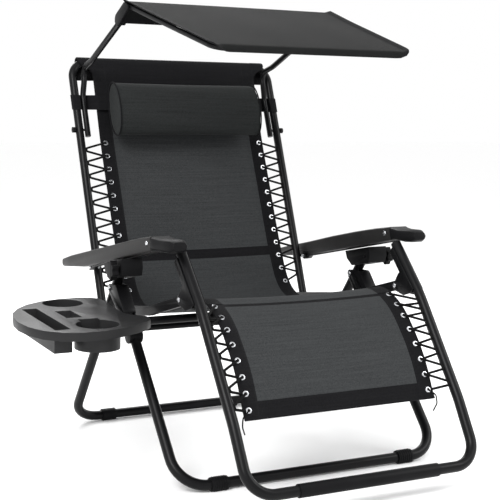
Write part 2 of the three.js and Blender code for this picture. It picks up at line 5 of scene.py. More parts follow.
import bmesh
import bpy
from mathutils import Matrix, Vector


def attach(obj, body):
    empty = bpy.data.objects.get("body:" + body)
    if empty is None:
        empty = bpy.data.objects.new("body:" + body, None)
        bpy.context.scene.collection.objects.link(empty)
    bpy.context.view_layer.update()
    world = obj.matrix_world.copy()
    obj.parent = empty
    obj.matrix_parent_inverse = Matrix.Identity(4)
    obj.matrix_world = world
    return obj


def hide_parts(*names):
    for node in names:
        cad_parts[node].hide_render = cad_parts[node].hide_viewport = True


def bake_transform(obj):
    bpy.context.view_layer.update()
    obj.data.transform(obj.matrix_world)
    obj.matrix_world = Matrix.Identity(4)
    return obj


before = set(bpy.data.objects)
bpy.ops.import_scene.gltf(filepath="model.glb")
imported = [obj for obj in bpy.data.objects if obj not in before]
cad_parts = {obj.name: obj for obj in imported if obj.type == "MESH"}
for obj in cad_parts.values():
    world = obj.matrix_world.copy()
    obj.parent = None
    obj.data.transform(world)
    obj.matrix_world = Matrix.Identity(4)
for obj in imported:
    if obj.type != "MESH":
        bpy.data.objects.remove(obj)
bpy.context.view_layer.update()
bpy.ops.object.select_all(action="DESELECT")

# ---- legs ---------------------------------------------------------------------------------
# Two crossed U frames of 25 mm steel tube with a satin black powder coat, pinned together at
# the top. Ribbed black plastic sleeves on the ground bars are their feet.
CHAIR_PLACE = Vector((0.124, -0.2904, 0.0))
SIDES = (("right", -1), ("left", 1))


def at(x, y, z):
    return Vector((x, y, z)) / 1000 + CHAIR_PLACE


def finish(name, rough, gloss, metallic=0.0):
    """A new material with its roughness and its mirror strength set on the shader."""
    material = bpy.data.materials.new(name)
    material.use_nodes = True
    shader = material.node_tree.nodes["Principled BSDF"]
    shader.inputs["Roughness"].default_value = rough
    shader.inputs["Specular IOR Level"].default_value = gloss
    shader.inputs["Metallic"].default_value = metallic
    return material, material.node_tree.nodes, material.node_tree.links, shader


def coated(name, color, rough, gloss, grain, relief, metallic=0.0, cloudy=0.2):
    """Coated metal or moulded plastic: a fine grain, a faint cloudiness and uneven gloss."""
    material, nodes, links, shader = finish(name, rough, gloss, metallic)
    place = nodes.new("ShaderNodeTexCoord")
    fine = nodes.new("ShaderNodeTexNoise")
    fine.inputs["Scale"].default_value = grain
    fine.inputs["Detail"].default_value = 3
    cloud = nodes.new("ShaderNodeTexNoise")
    cloud.inputs["Scale"].default_value = 14
    cloud.inputs["Detail"].default_value = 5
    tint = nodes.new("ShaderNodeValToRGB")
    tint.color_ramp.elements[0].position = 0.3
    tint.color_ramp.elements[1].position = 0.7
    tint.color_ramp.elements[0].color = [c * (1 - cloudy) for c in color] + [1]
    tint.color_ramp.elements[1].color = [c * (1 + cloudy) for c in color] + [1]
    uneven = nodes.new("ShaderNodeMapRange")
    uneven.inputs["To Min"].default_value = rough - 0.07
    uneven.inputs["To Max"].default_value = rough + 0.09
    bump = nodes.new("ShaderNodeBump")
    bump.inputs["Strength"].default_value = relief
    bump.inputs["Distance"].default_value = 0.0004
    links.new(place.outputs["Object"], fine.inputs["Vector"])
    links.new(place.outputs["Object"], cloud.inputs["Vector"])
    links.new(cloud.outputs["Fac"], tint.inputs["Fac"])
    links.new(tint.outputs["Color"], shader.inputs["Base Color"])
    links.new(cloud.outputs["Fac"], uneven.inputs["Value"])
    links.new(uneven.outputs["Result"], shader.inputs["Roughness"])
    links.new(fine.outputs["Fac"], bump.inputs["Height"])
    links.new(bump.outputs["Normal"], shader.inputs["Normal"])
    return material


def settle(obj, material):
    """Gives a shaped piece its finish, smooth shading, and a place held in its mesh."""
    bpy.ops.object.select_all(action="DESELECT")
    obj.select_set(True)
    bpy.context.view_layer.objects.active = obj
    bpy.ops.object.transform_apply(location=True, rotation=True, scale=True)
    bpy.ops.object.shade_smooth_by_angle(angle=math.radians(40), keep_sharp_edges=False)
    obj.data.materials.clear()
    obj.data.materials.append(material)
    obj.select_set(False)
    return obj


def bent_tube(name, corners, bends, radius, material, sides=24):
    """Pushes a disc along each straight run and spins it round each bend, as a tube bender does."""
    corners = [at(*corner) for corner in corners]
    heading = (corners[1] - corners[0]).normalized()
    bpy.ops.object.select_all(action="DESELECT")
    bpy.ops.mesh.primitive_circle_add(vertices=sides, radius=radius / 1000, fill_type="NGON",
                                      location=corners[0],
                                      rotation=heading.to_track_quat("Z", "Y").to_euler())
    piece = bpy.context.object
    piece.name = name
    bpy.ops.object.transform_apply(location=True, rotation=True, scale=True)
    bpy.ops.object.mode_set(mode="EDIT")
    bpy.ops.mesh.select_mode(type="FACE")
    bpy.ops.mesh.select_all(action="SELECT")
    here = corners[0]
    for i in range(1, len(corners)):
        heading = (corners[i] - corners[i - 1]).normalized()
        bend = bends[i] / 1000
        if bend:
            onward = (corners[i + 1] - corners[i]).normalized()
            turn = heading.angle(onward)
            setback = bend * math.tan(turn / 2)
        stop = corners[i] - heading * (setback if bend else 0)
        bpy.ops.mesh.extrude_region_move(TRANSFORM_OT_translate={"value": tuple(stop - here)})
        here = stop
        if bend:
            inward = (onward - heading * heading.dot(onward)).normalized()
            bpy.ops.mesh.spin(steps=max(3, round(turn * 8)), angle=-turn,
                              center=tuple(stop + inward * bend),
                              axis=tuple(heading.cross(onward).normalized()))
            here = corners[i] + onward * setback
    bpy.ops.mesh.select_all(action="SELECT")
    bpy.ops.mesh.normals_make_consistent(inside=False)
    bpy.ops.object.mode_set(mode="OBJECT")
    return settle(piece, material)


def joined(name, parts):
    """Joins the parts into one mesh object."""
    bpy.ops.object.select_all(action="DESELECT")
    for part in parts:
        part.select_set(True)
    bpy.context.view_layer.objects.active = parts[0]
    bpy.ops.object.join()
    parts[0].name = name
    parts[0].select_set(False)
    return parts[0]


def eased(node, material, width=1.2, segments=2, degrees=32):
    """A copy of the frame's node with its edges rounded over; it stands for the node."""
    bpy.ops.object.select_all(action="DESELECT")
    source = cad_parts[node]
    obj = source.copy()
    obj.data = source.data.copy()
    obj.name = node + "_eased"
    obj.parent = None
    obj.matrix_world = Matrix.Identity(4)
    bpy.context.scene.collection.objects.link(obj)
    obj.select_set(True)
    bpy.context.view_layer.objects.active = obj
    bpy.ops.object.mode_set(mode="EDIT")
    bpy.ops.mesh.select_all(action="SELECT")
    bpy.ops.mesh.remove_doubles(threshold=1e-5)
    bpy.ops.mesh.dissolve_limited(angle_limit=math.radians(1.5))
    bpy.ops.object.mode_set(mode="OBJECT")
    bevel = obj.modifiers.new("round_over", "BEVEL")
    bevel.width = width / 1000
    bevel.segments = segments
    bevel.angle_limit = math.radians(degrees)
    bevel.use_clamp_overlap = True
    bpy.ops.object.modifier_apply(modifier=bevel.name)
    settle(obj, material)
    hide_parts(node)
    return obj


def foot_rib(x):
    """One raised ring of a front foot: a short cylinder with a rounded rim, flat on the ground."""
    bpy.ops.object.select_all(action="DESELECT")
    bpy.ops.mesh.primitive_cylinder_add(vertices=32, radius=0.0176, depth=0.0024,
                                        location=at(x, FRONT_BAR_Y, BAR_Z),
                                        rotation=(0, math.pi / 2, 0))
    rib = bpy.context.object
    bpy.ops.object.mode_set(mode="EDIT")
    bpy.ops.mesh.bevel(offset=0.0007, segments=2, affect="EDGES")
    bpy.ops.object.mode_set(mode="OBJECT")
    settle(rib, black_plastic)
    for vertex in rib.data.vertices:
        vertex.co.z = max(vertex.co.z, 0.0006)
    return rib


LEG_X, LEG_R, BAR_Z = 351, 12.5, 15
REAR_BAR_Y, FRONT_BAR_Y = 692, -9
powder_coat = coated("powder_coat", (0.005, 0.005, 0.0055), 0.32, 0.13, 900, 0.12)
black_plastic = coated("black_plastic", (0.006, 0.006, 0.0065), 0.45, 0.07, 700, 0.3)

rear_slope = (REAR_BAR_Y - 335) / (467 - BAR_Z)
rear_top = (335 - 6.4 * rear_slope, 467 + 6.4)
rear_legs = bent_tube("rear_leg_tube", [
    (-LEG_X, *rear_top), (-LEG_X, REAR_BAR_Y, BAR_Z), (LEG_X, REAR_BAR_Y, BAR_Z), (LEG_X, *rear_top),
], [0, 70, 70, 0], LEG_R, powder_coat)
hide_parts("rear_leg_frame")
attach(rear_legs, "rear_legs")
front_top = (FRONT_BAR_Y + (411 - BAR_Z) * 0.8735, 411)
front_legs = bent_tube("front_leg_tube", [
    (-LEG_X, *front_top), (-LEG_X, FRONT_BAR_Y, BAR_Z), (LEG_X, FRONT_BAR_Y, BAR_Z), (LEG_X, *front_top),
], [0, 75, 75, 0], LEG_R, powder_coat)
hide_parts("front_leg_frame")
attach(front_legs, "front_legs")
for name, side in SIDES:
    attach(eased("rear_foot_" + name, black_plastic, 1.0), "rear_legs")
    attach(eased("front_foot_" + name, black_plastic, 1.0), "front_legs")
    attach(eased("leg_bracket_" + name, powder_coat, 0.8), "front_legs")
    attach(eased("seat_hanger_" + name, powder_coat, 0.8), "rear_legs")
    ribs = joined("front_foot_ribs_" + name, [foot_rib(side * (238 + 6 * k)) for k in range(6)])
    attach(ribs, "front_legs")

# ---- seat link ----------------------------------------------------------------------------
# Flat-oval side rails that carry the sitter, welded to a cross tube that turns in the hangers.
for name, side in SIDES:
    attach(eased("seat_rail_" + name, powder_coat, 3.5, 3), "seat_link")
SEAT_PIVOT = (300, 343)
cross_tube = bent_tube("seat_cross_tube", [(-333.8, *SEAT_PIVOT), (333.8, *SEAT_PIVOT)], [0, 0], 10,
                       powder_coat)
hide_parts("seat_pivot_tube")
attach(cross_tube, "seat_link")

# ---- back frame ---------------------------------------------------------------------------
# A U of 22 mm tube with rounded top corners, tied by a lower bar, with a small welded ear on
# each side for the arm.
BACK_X, BACK_R, BACK_LEAN = 306.5, 11, 0.3745
ARM_EAR = (598, 443.4)


def back_y(z):
    return 826 + (z - 985) * BACK_LEAN


back_parts = [bent_tube("back_tube", [
    (-BACK_X, back_y(262), 262), (-BACK_X, 826, 985), (BACK_X, 826, 985), (BACK_X, back_y(262), 262),
], [0, 45, 45, 0], BACK_R, powder_coat)]
for name, side in SIDES:
    back_parts.append(bent_tube("ear", [(side * 316.5, *ARM_EAR), (side * 321, *ARM_EAR)],
                                [0, 0], 9, powder_coat))
    back_parts.append(bent_tube("ear_stem", [(side * 318.7, *ARM_EAR), (side * 315, 616, ARM_EAR[1])],
                                [0, 0], 4.5, powder_coat))
back_tube = joined("back_tube", back_parts)
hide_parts("back_frame")
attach(back_tube, "back_frame")
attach(eased("back_lower_bar", powder_coat, 0.5), "back_frame")

# ---- foot frame ---------------------------------------------------------------------------
# Two bent 25 mm tubes that meet inside a plastic sleeve at the bottom, each stiffened by a
# folded steel channel round the knee. Their tops reach up into the grips.
FOOT_X, FOOT_R = 295.5, 12.5
foot_tube = bent_tube("foot_tube", [
    (-FOOT_X, 106.5, 529), (-FOOT_X, -3, 412), (-FOOT_X, -165, 190), (-FOOT_X, -244, 55),
    (FOOT_X, -244, 55), (FOOT_X, -165, 190), (FOOT_X, -3, 412), (FOOT_X, 106.5, 529),
], [0, 300, 300, 62, 62, 300, 300, 0], FOOT_R, powder_coat)
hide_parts("foot_tube_left", "foot_tube_right")
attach(foot_tube, "foot_frame")
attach(eased("foot_sleeve", black_plastic, 0.8), "foot_frame")
for name, side in SIDES:
    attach(eased("knee_bracket_" + name, powder_coat, 1.2), "foot_frame")

# ---- arms and locks -----------------------------------------------------------------------
# Dark grey moulded arm pads with black end grips over flat steel rails. Each lock is a forked
# housing on the rear leg's top, squeezed on the rail by a lobed knob.
pad_plastic = coated("pad_plastic", (0.020, 0.0195, 0.0195), 0.44, 0.12, 520, 0.45, 0.0, 0.12)
for name, side in SIDES:
    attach(eased("arm_rail_" + name, powder_coat, 0.8), "arms")
    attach(eased("armrest_" + name, pad_plastic, 2.0, 3), "arms")
    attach(eased("arm_grip_" + name, black_plastic, 2.5, 3), "arms")
    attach(eased("lock_housing_" + name, black_plastic, 2.5, 3), "locks")
    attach(eased("lock_knob_" + name, black_plastic, 1.6, 3), "lock_knob_" + name)

# ---- bolts --------------------------------------------------------------------------------
# Plated bolts and rivets with domed heads at every pivot.
plated = coated("plated_steel", (0.62, 0.63, 0.65), 0.25, 0.5, 600, 0.05, 1.0, 0.1)
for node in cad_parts:
    kind = node[: node.rfind("_")]
    if kind in ("leg_bolt", "back_bolt", "knee_bolt", "arm_rivet", "arm_bolt"):
        holder = {"leg_bolt": "rear_legs", "back_bolt": "seat_link", "knee_bolt": "foot_frame"}
        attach(eased(node, plated, 0.8, 3, 45), holder.get(kind, "arms"))

# ---- sling --------------------------------------------------------------------------------
# One long panel of charcoal textile mesh with black bound edges and stitched seams. It hooks
# over the top bar, hangs between the back tubes, crosses the seat and ends in a shin hem.
def woven(name, dark, light, pitch, rough, source="UV", relief=0.5, seams=()):
    """Plain-woven cloth with uneven yarn; seams are rows of stitches at these distances from the middle."""
    material, nodes, links, shader = finish(name, rough, 0.06)

    def calc(operation, first, second, third=None):
        """A math node of numbers or other nodes' outputs."""
        node = nodes.new("ShaderNodeMath")
        node.operation = operation
        for socket, value in enumerate((first, second, third)):
            if isinstance(value, (int, float)):
                node.inputs[socket].default_value = value
            elif value is not None:
                links.new(value, node.inputs[socket])
        return node.outputs[0]

    place = nodes.new("ShaderNodeTexCoord")
    split = nodes.new("ShaderNodeSeparateXYZ")
    links.new(place.outputs[source], split.inputs["Vector"])
    across, along = split.outputs["X"], split.outputs["Y" if source == "UV" else "Z"]
    warp = calc("SINE", calc("MULTIPLY", across, 2 * math.pi / pitch), 0)
    weft = calc("SINE", calc("MULTIPLY", along, 2 * math.pi / pitch), 0)
    yarn = nodes.new("ShaderNodeTexNoise")
    yarn.inputs["Scale"].default_value = 420
    yarn.inputs["Detail"].default_value = 4
    links.new(place.outputs["Object"], yarn.inputs["Vector"])
    streak_place = nodes.new("ShaderNodeMapping")
    streak_place.inputs["Scale"].default_value = (6, 240, 240)
    links.new(place.outputs[source], streak_place.inputs["Vector"])
    streaks = nodes.new("ShaderNodeTexNoise")
    streaks.inputs["Scale"].default_value = 1
    streaks.inputs["Detail"].default_value = 3
    links.new(streak_place.outputs["Vector"], streaks.inputs["Vector"])
    threads = calc("MULTIPLY_ADD", calc("MULTIPLY", warp, weft), 0.22, yarn.outputs["Fac"])
    height = calc("MULTIPLY_ADD", streaks.outputs["Fac"], 0.5, calc("SUBTRACT", threads, 0.25))
    for seam in seams:
        off_seam = calc("ABSOLUTE", calc("SUBTRACT", calc("ABSOLUTE", across, 0), seam), 0)
        on_row = calc("LESS_THAN", off_seam, 0.0008)
        dash = calc("GREATER_THAN", calc("SINE", calc("MULTIPLY", along, 1600), 0), -0.4)
        height = calc("MULTIPLY_ADD", calc("MULTIPLY", on_row, dash), 0.9, height)
    tint = nodes.new("ShaderNodeValToRGB")
    tint.color_ramp.elements[0].position = 0.2
    tint.color_ramp.elements[1].position = 0.8
    tint.color_ramp.elements[0].color = list(dark) + [1]
    tint.color_ramp.elements[1].color = list(light) + [1]
    bump = nodes.new("ShaderNodeBump")
    bump.inputs["Strength"].default_value = relief
    bump.inputs["Distance"].default_value = 0.0006
    links.new(height, tint.inputs["Fac"])
    links.new(tint.outputs["Color"], shader.inputs["Base Color"])
    links.new(height, bump.inputs["Height"])
    links.new(bump.outputs["Normal"], shader.inputs["Normal"])
    shader.inputs["Sheen Weight"].default_value = 0.03
    return material


def cloth_mesh(name, verts, faces, materials, uvs):
    """A cloth piece's mesh, with its flat pattern in metres as its UV map."""
    mesh = bpy.data.meshes.new(name)
    mesh.from_pydata([tuple(v) for v in verts], [], faces)
    layer = mesh.uv_layers.new(name="UVMap")
    for loop in mesh.loops:
        layer.data[loop.index].uv = uvs[loop.vertex_index]
    for material in materials:
        mesh.materials.append(material)
    obj = bpy.data.objects.new(name, mesh)
    bpy.context.scene.collection.objects.link(obj)
    bpy.ops.object.select_all(action="DESELECT")
    obj.select_set(True)
    bpy.context.view_layer.objects.active = obj
    bpy.ops.object.mode_set(mode="EDIT")
    bpy.ops.mesh.select_all(action="SELECT")
    bpy.ops.mesh.normals_make_consistent(inside=False)
    bpy.ops.object.mode_set(mode="OBJECT")
    bpy.ops.object.shade_smooth_by_angle(angle=math.radians(40), keep_sharp_edges=False)
    obj.select_set(False)
    return obj


def side_view(points, spacing):
    """Even points along a smooth curve through the given [y, z] pairs."""
    dense = []
    for i in range(len(points) - 1):
        p0, p1 = points[max(i - 1, 0)], points[i]
        p2, p3 = points[i + 1], points[min(i + 2, len(points) - 1)]
        for k in range(12):
            t = k / 12
            dense.append([0.5 * (2 * b + (c - a) * t + (2 * a - 5 * b + 4 * c - d) * t * t
                                 + (3 * b - a - 3 * c + d) * t ** 3)
                          for a, b, c, d in zip(p0, p1, p2, p3)])
    dense.append(list(points[-1]))
    out, carry = [dense[0]], 0.0
    for a, b in zip(dense, dense[1:]):
        gap = math.dist(a, b)
        while carry + gap >= spacing:
            t = (spacing - carry) / gap
            a = [a[0] + (b[0] - a[0]) * t, a[1] + (b[1] - a[1]) * t]
            gap = math.dist(a, b)
            carry = 0.0
            out.append(a)
        carry += gap
    out.append(dense[-1])
    return out


DOUBLED, FOLD_EDGE = 0.55, -0.5


def panel(name, line, width, lift, materials, border, bands=(), thick=2.2, columns=24):
    """A closed sheet along a side view, with a doubled binding down each edge. width(s) is its
    half width and lift(s, t) its rise at run s and t across, all in mm."""
    verts, uvs, faces, run = [], [], [], 0.0
    inner = [-1 + 2 * k / columns for k in range(columns + 1)]
    for i, here in enumerate(line):
        if i:
            run += math.dist(here, line[i - 1])
        a, b = line[max(i - 1, 0)], line[min(i + 1, len(line) - 1)]
        length = math.dist(a, b)
        normal = (-(b[1] - a[1]) / length, (b[0] - a[0]) / length)
        half = width(run)
        flat = half - border
        left_edge = [-half, -half + 1.2, -flat - 0.8]
        stations = left_edge + [t * flat for t in inner] + [-x for x in reversed(left_edge)]
        doubled = [FOLD_EDGE, DOUBLED, DOUBLED] + [0] * len(inner) + [DOUBLED, DOUBLED, FOLD_EDGE]
        for layer in (1, -1):
            for x, extra in zip(stations, doubled):
                off = layer * (thick / 2 + extra) + lift(run, x / half)
                verts.append(at(x, here[0] + normal[0] * off, here[1] + normal[1] * off))
                uvs.append((x / 1000, run / 1000))
    wide = len(inner) + 6
    for i in range(len(line) - 1):
        a = i * 2 * wide
        for k in range(wide - 1):
            for layer in (0, wide):
                corner = a + layer + k
                faces.append((corner, corner + 1, corner + 1 + 2 * wide, corner + 2 * wide))
        for k in (0, wide - 1):
            faces.append((a + k, a + wide + k, a + 3 * wide + k, a + 2 * wide + k))
    for i in (0, len(line) - 1):
        for k in range(wide - 1):
            a = i * 2 * wide + k
            faces.append((a, a + 1, a + 1 + wide, a + wide))
    obj = cloth_mesh(name, verts, faces, materials, uvs)
    flat_map = obj.data.uv_layers[0].data
    for face in obj.data.polygons:
        x, s = [1000 * sum(flat_map[k].uv[axis] for k in face.loop_indices) / face.loop_total
                for axis in (0, 1)]
        bound = abs(x) > width(s) - border
        face.material_index = 1 if bound or any(low < s < high for low, high in bands) else 0
    return obj, run


SLING_HALF, BINDING = 252, 40
sling_textile = woven("sling_textile", (0.018, 0.019, 0.020), (0.045, 0.0475, 0.049), 0.0026, 0.85)
binding_cloth = woven("binding_cloth", (0.0035, 0.0035, 0.004), (0.0095, 0.0095, 0.0105), 0.0016, 0.9,
                      seams=(0.2155, 0.2485))
TOP_HOOK_R = 13
hook = [[826 + TOP_HOOK_R * math.cos(a), 985 + TOP_HOOK_R * math.sin(a)]
        for a in (math.radians(-20.5 + 15 * i) for i in range(13))]
behind = [[hook[0][0] - d * 0.3507, hook[0][1] - d * 0.9365] for d in (48, 32, 16)]
back_side = behind + hook + [[back_y(z) + off, z] for z, off in (
    (960, -12.6), (935, -12), (880, -9), (766, -3), (640, -6), (540, -8), (470, -11))] + [[598, 421]]
back_run = side_view(back_side, 9)
TOP_RUN = 48 + TOP_HOOK_R * math.pi


def back_width(s):
    """Full width where it wraps the top bar, then scooped in to the panel's own width."""
    if s < TOP_RUN + 6:
        return 291
    return SLING_HALF + 39 * max(0.0, 1 - (s - TOP_RUN - 6) / 40) ** 2.4


def back_sag(s, t):
    return 7 * min(1, max(0, (s - TOP_RUN) / 200)) * (1 - t * t)


sling_back, back_length = panel("sling_back_cloth", back_run, back_width, back_sag,
                                [sling_textile, binding_cloth], BINDING, [(0, TOP_RUN + 92), (640, 668)])
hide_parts("sling_back")
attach(sling_back, "back_frame")
seat_run = side_view([(598, 421), (577, 387), (548, 360), (510, 345), (460, 339), (400, 344), (340, 358),
                      (300, 370), (240, 386), (180, 403), (130, 416), (95, 421), (58.5, 414)], 9)
half_way = min(range(len(seat_run)), key=lambda i: abs(seat_run[i][0] - 340))
seat_rear, seat_rear_length = panel(
    "sling_seat_rear", seat_run[: half_way + 1], lambda s: SLING_HALF, lambda s, t: 7 * (1 - t * t),
    [sling_textile, binding_cloth], BINDING)
seat_front, seat_front_length = panel(
    "sling_seat_front", seat_run[half_way:], lambda s: SLING_HALF, lambda s, t: 7 * (1 - t * t),
    [sling_textile, binding_cloth], BINDING)
leg_run = side_view([(57, 413), (18, 393), (-13, 368.5), (-41, 338), (-67, 306.7), (-89, 274),
                     (-106.5, 240.6), (-122.3, 206), (-133, 188)], 9)
sling_leg, leg_length = panel(
    "sling_leg_cloth", leg_run, lambda s: SLING_HALF, lambda s, t: 7 * max(0, 1 - s / 270) * (1 - t * t),
    [sling_textile, binding_cloth], BINDING, [(0, 9), (262, 999)])
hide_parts("sling_seat")
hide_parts("sling_leg")
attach(sling_leg, "foot_frame")
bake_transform(seat_rear)
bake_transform(seat_front)

# ---- eyelets and lacing -------------------------------------------------------------------
# Plated eyelets in the bindings, and one elastic cord a side that runs in a zigzag between
# them and small holes in the frame tube. The cord is held all along.
def cord(name, points, radius, material, sides=10):
    """A round cord through points in mm, ringed so that it never twists, with closed ends."""
    verts, faces, uvs = [], [], []
    before, across, run = None, None, 0.0
    for i, here in enumerate(points):
        tangent = (points[min(i + 1, len(points) - 1)] - points[max(i - 1, 0)]).normalized()
        across = tangent.orthogonal() if across is None else before.rotation_difference(tangent) @ across
        across = (across - tangent * across.dot(tangent)).normalized()
        up = tangent.cross(across)
        run += (here - points[i - 1]).length if i else 0.0
        for k in range(sides):
            a = 2 * math.pi * k / sides
            verts.append(at(*(here + (across * math.cos(a) + up * math.sin(a)) * radius)))
            uvs.append((run / 1000, radius * a / 1000))
        before = tangent
    for i in range(len(points) - 1):
        for k in range(sides):
            a, b = i * sides + k, i * sides + (k + 1) % sides
            faces.append((a, b, b + sides, a + sides))
    faces.append(tuple(range(sides)))
    faces.append(tuple(range((len(points) - 1) * sides, len(points) * sides)))
    return cloth_mesh(name, verts, faces, [material], uvs)


def eased_route(corners, bend, steps=3):
    """The corners of a route, each rounded by an arc of the same bend."""
    route = [corners[0]]
    for before, here, after in zip(corners, corners[1:], corners[2:]):
        into, out = (here - before).normalized(), (after - here).normalized()
        turn = into.angle(out)
        if turn < 0.05:
            route.append(here)
            continue
        inward = (out - into * into.dot(out)).normalized()
        reach = min(bend * math.tan(turn / 2), 0.45 * (here - before).length, 0.45 * (after - here).length)
        radius = reach / math.tan(turn / 2)
        for k in range(steps + 1):
            a = turn * k / steps
            route.append(here - into * (reach - radius * math.sin(a)) + inward * radius * (1 - math.cos(a)))
    return route + [corners[-1]]


def eyelet_rim():
    """A rolled metal rim, flatter than it is wide."""
    bpy.ops.object.select_all(action="DESELECT")
    bpy.ops.mesh.primitive_torus_add(major_segments=20, minor_segments=8, major_radius=0.0052,
                                     minor_radius=0.0021)
    bpy.ops.object.mode_set(mode="EDIT")
    bpy.ops.transform.resize(value=(1, 1, 0.7))
    bpy.ops.object.mode_set(mode="OBJECT")
    return settle(bpy.context.object, plated)


def on_line(line, z):
    """Place and forward normal on a side view at height z, where the line runs downward."""
    for a, b in zip(line, line[1:]):
        if a[1] >= z >= b[1]:
            t = (a[1] - z) / (a[1] - b[1])
            length = math.dist(a, b)
            return (Vector((0, a[0] + (b[0] - a[0]) * t, z)),
                    Vector((0, (b[1] - a[1]) / length, -(b[0] - a[0]) / length)))
    raise ValueError("no point at that height")


def shin_y(z):
    """The foot tube's own place at height z."""
    for (y0, z0), (y1, z1) in zip(SHIN, SHIN[1:]):
        if z0 >= z >= z1:
            return y0 + (y1 - y0) * (z0 - z) / (z0 - z1)
    return SHIN[-1][0]


EYELET_X, LACE_R, TAIL_R = 238, 3.0, 1.6
TAIL_HANG = [(0, 0, 0), (18, -6, -14), (20, -8, -34), (12, -4, -52)]
SHIN = [(106.5, 529), (22, 438), (-3, 410), (-29, 378), (-150, 211), (-168, 185), (-244, 55)]
elastic = coated("elastic_cord", (0.004, 0.004, 0.004), 0.75, 0.1, 1200, 0.5)
rim = eyelet_rim()
back_heights = [764 - 35.2 * i for i in range(12)]
leg_heights = [409, 390, 367, 338, 307, 274, 241, 207]
for group, line, heights, tube_x, tube_r, tube_y, body in (
    ("back", back_run + seat_run[1:40], back_heights, BACK_X, BACK_R, back_y, "back_frame"),
    ("leg", leg_run, leg_heights, FOOT_X, FOOT_R, shin_y, "foot_frame"),
):
    for name, side in SIDES:
        rims, route = [], []
        for i, z in enumerate(heights):
            spot, normal = on_line(line, z)
            eyelet = spot + Vector((side * EYELET_X, 0, 0))
            for face in (1, -1):
                one = rim.copy()
                one.data = rim.data.copy()
                bpy.context.scene.collection.objects.link(one)
                turn = normal.to_track_quat("Z", "Y").to_matrix().to_4x4()
                one.data.transform(Matrix.Translation(at(*(eyelet + normal * 2.3 * face))) @ turn)
                rims.append(one)
            route += [eyelet - normal * 4.5, eyelet + normal * 4.5]
            if i + 1 < len(heights):
                low = (z + heights[i + 1]) / 2
                route.append(Vector((side * (tube_x - tube_r - 0.6), tube_y(low + 4) - 3, low + 4)))
                route.append(Vector((side * (tube_x - tube_r - 0.6), tube_y(low - 4) - 3, low - 4)))
        rims = joined(f"{group}_eyelets_{name}", rims)
        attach(rims, body)
        lace = cord(f"{group}_lace_cord_{name}", eased_route(route, 3.5), LACE_R, elastic)
        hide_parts(f"lace_{group}_{name}")
        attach(lace, body)
        if group == "leg":
            end = route[-1]
            tail = [end + Vector((side * x, y, z)) for x, y, z in TAIL_HANG]
            tail = cord(f"lace_tail_{name}", eased_route(tail, 14, 5), TAIL_R, elastic)
            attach(tail, body)
bpy.data.objects.remove(rim)

# ---- headrest -----------------------------------------------------------------------------
# A stuffed oval bolster in a woven black cover, piped round its two end discs, on a wide
# strap that passes round the back tubes.
BOLSTER = {"x": (-228, 212), "y": 709, "z": 858, "cut_radius": 74.5, "half_depth": 46}
SEAM_INSET, PIPING_R = 6.5, 1.8
strap_side = [(297, -13.0), (307, -13.4), (317, -9), (320.3, 0), (317, 9), (307, 13.4), (292, 13.4),
              (280, 12), (269, 4), (262, -6), (255, -14.5), (240, -17.2), (200, -17.5)]
strap_side += [(-x, off) for x, off in reversed(strap_side)]
verts, faces, uvs = [], [], []
for i, (x, off) in enumerate(strap_side):
    a, b = strap_side[max(i - 1, 0)], strap_side[min(i + 1, len(strap_side) - 1)]
    length = math.dist(a, b)
    outward = (-(b[1] - a[1]) / length, (b[0] - a[0]) / length)
    for layer in (0, 1.2):
        for z in (855, 862, 875, 888, 895):
            verts.append(at(x + outward[0] * layer, back_y(z) + off + outward[1] * layer, z))
            uvs.append((x / 1000, z / 1000))
for i in range(len(strap_side) - 1):
    for layer in (0, 5):
        for k in range(4):
            a = i * 10 + layer + k
            faces.append((a, a + 1, a + 11, a + 10))
    for k in (0, 4):
        a = i * 10 + k
        faces.append((a, a + 5, a + 15, a + 10))
for i in (0, len(strap_side) - 1):
    for k in range(4):
        a = i * 10 + k
        faces.append((a, a + 1, a + 6, a + 5))
strap = cloth_mesh("headrest_strap", verts, faces, [binding_cloth], uvs)
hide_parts("pillow_strap")
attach(strap, "headrest")

pillow_cover = woven("pillow_cover", (0.0095, 0.0105, 0.0105), (0.025, 0.027, 0.027), 0.0024, 0.85,
                     "Object", 0.6)
lean = math.atan(BACK_LEAN)
middle = at(sum(BOLSTER["x"]) / 2, BOLSTER["y"], BOLSTER["z"])
reach = (BOLSTER["x"][1] - BOLSTER["x"][0]) / 2000


def onto_strap(mesh):
    """Flattens a round shape about the x axis to the bolster's oval and lays it against the strap."""
    flatten = Matrix.Diagonal((1, (BOLSTER["half_depth"] - 4) / BOLSTER["cut_radius"], 1, 1))
    mesh.transform(Matrix.Translation(middle) @ Matrix.Rotation(-lean, 4, "X") @ flatten)


bpy.ops.object.select_all(action="DESELECT")
bpy.ops.mesh.primitive_cylinder_add(vertices=40, radius=BOLSTER["cut_radius"] / 1000,
                                    depth=2 * reach - 0.012, end_fill_type="NGON",
                                    rotation=(0, math.pi / 2, 0))
bolster = bpy.context.object
bolster.name = "headrest_cushion"
bpy.ops.object.transform_apply(location=True, rotation=True, scale=True)
bpy.ops.object.mode_set(mode="EDIT")
bpy.ops.mesh.select_mode(type="FACE")
bpy.ops.mesh.select_all(action="DESELECT")
shell = bmesh.from_edit_mesh(bolster.data)
for face in shell.faces:
    face.select = abs(face.normal.x) > 0.9
bmesh.update_edit_mesh(bolster.data)
bpy.ops.mesh.inset(thickness=0.016)
bpy.ops.mesh.inset(thickness=0.030)
bpy.ops.object.mode_set(mode="OBJECT")
onto_strap(bolster.data)
settle(bolster, pillow_cover)
bpy.ops.object.select_all(action="DESELECT")
bolster.select_set(True)
bpy.context.view_layer.objects.active = bolster
remesh = bolster.modifiers.new("weave", "REMESH")
remesh.mode = "VOXEL"
remesh.voxel_size = 0.005
bpy.ops.object.modifier_apply(modifier=remesh.name)
sewn = bolster.vertex_groups.new(name="end_seams")
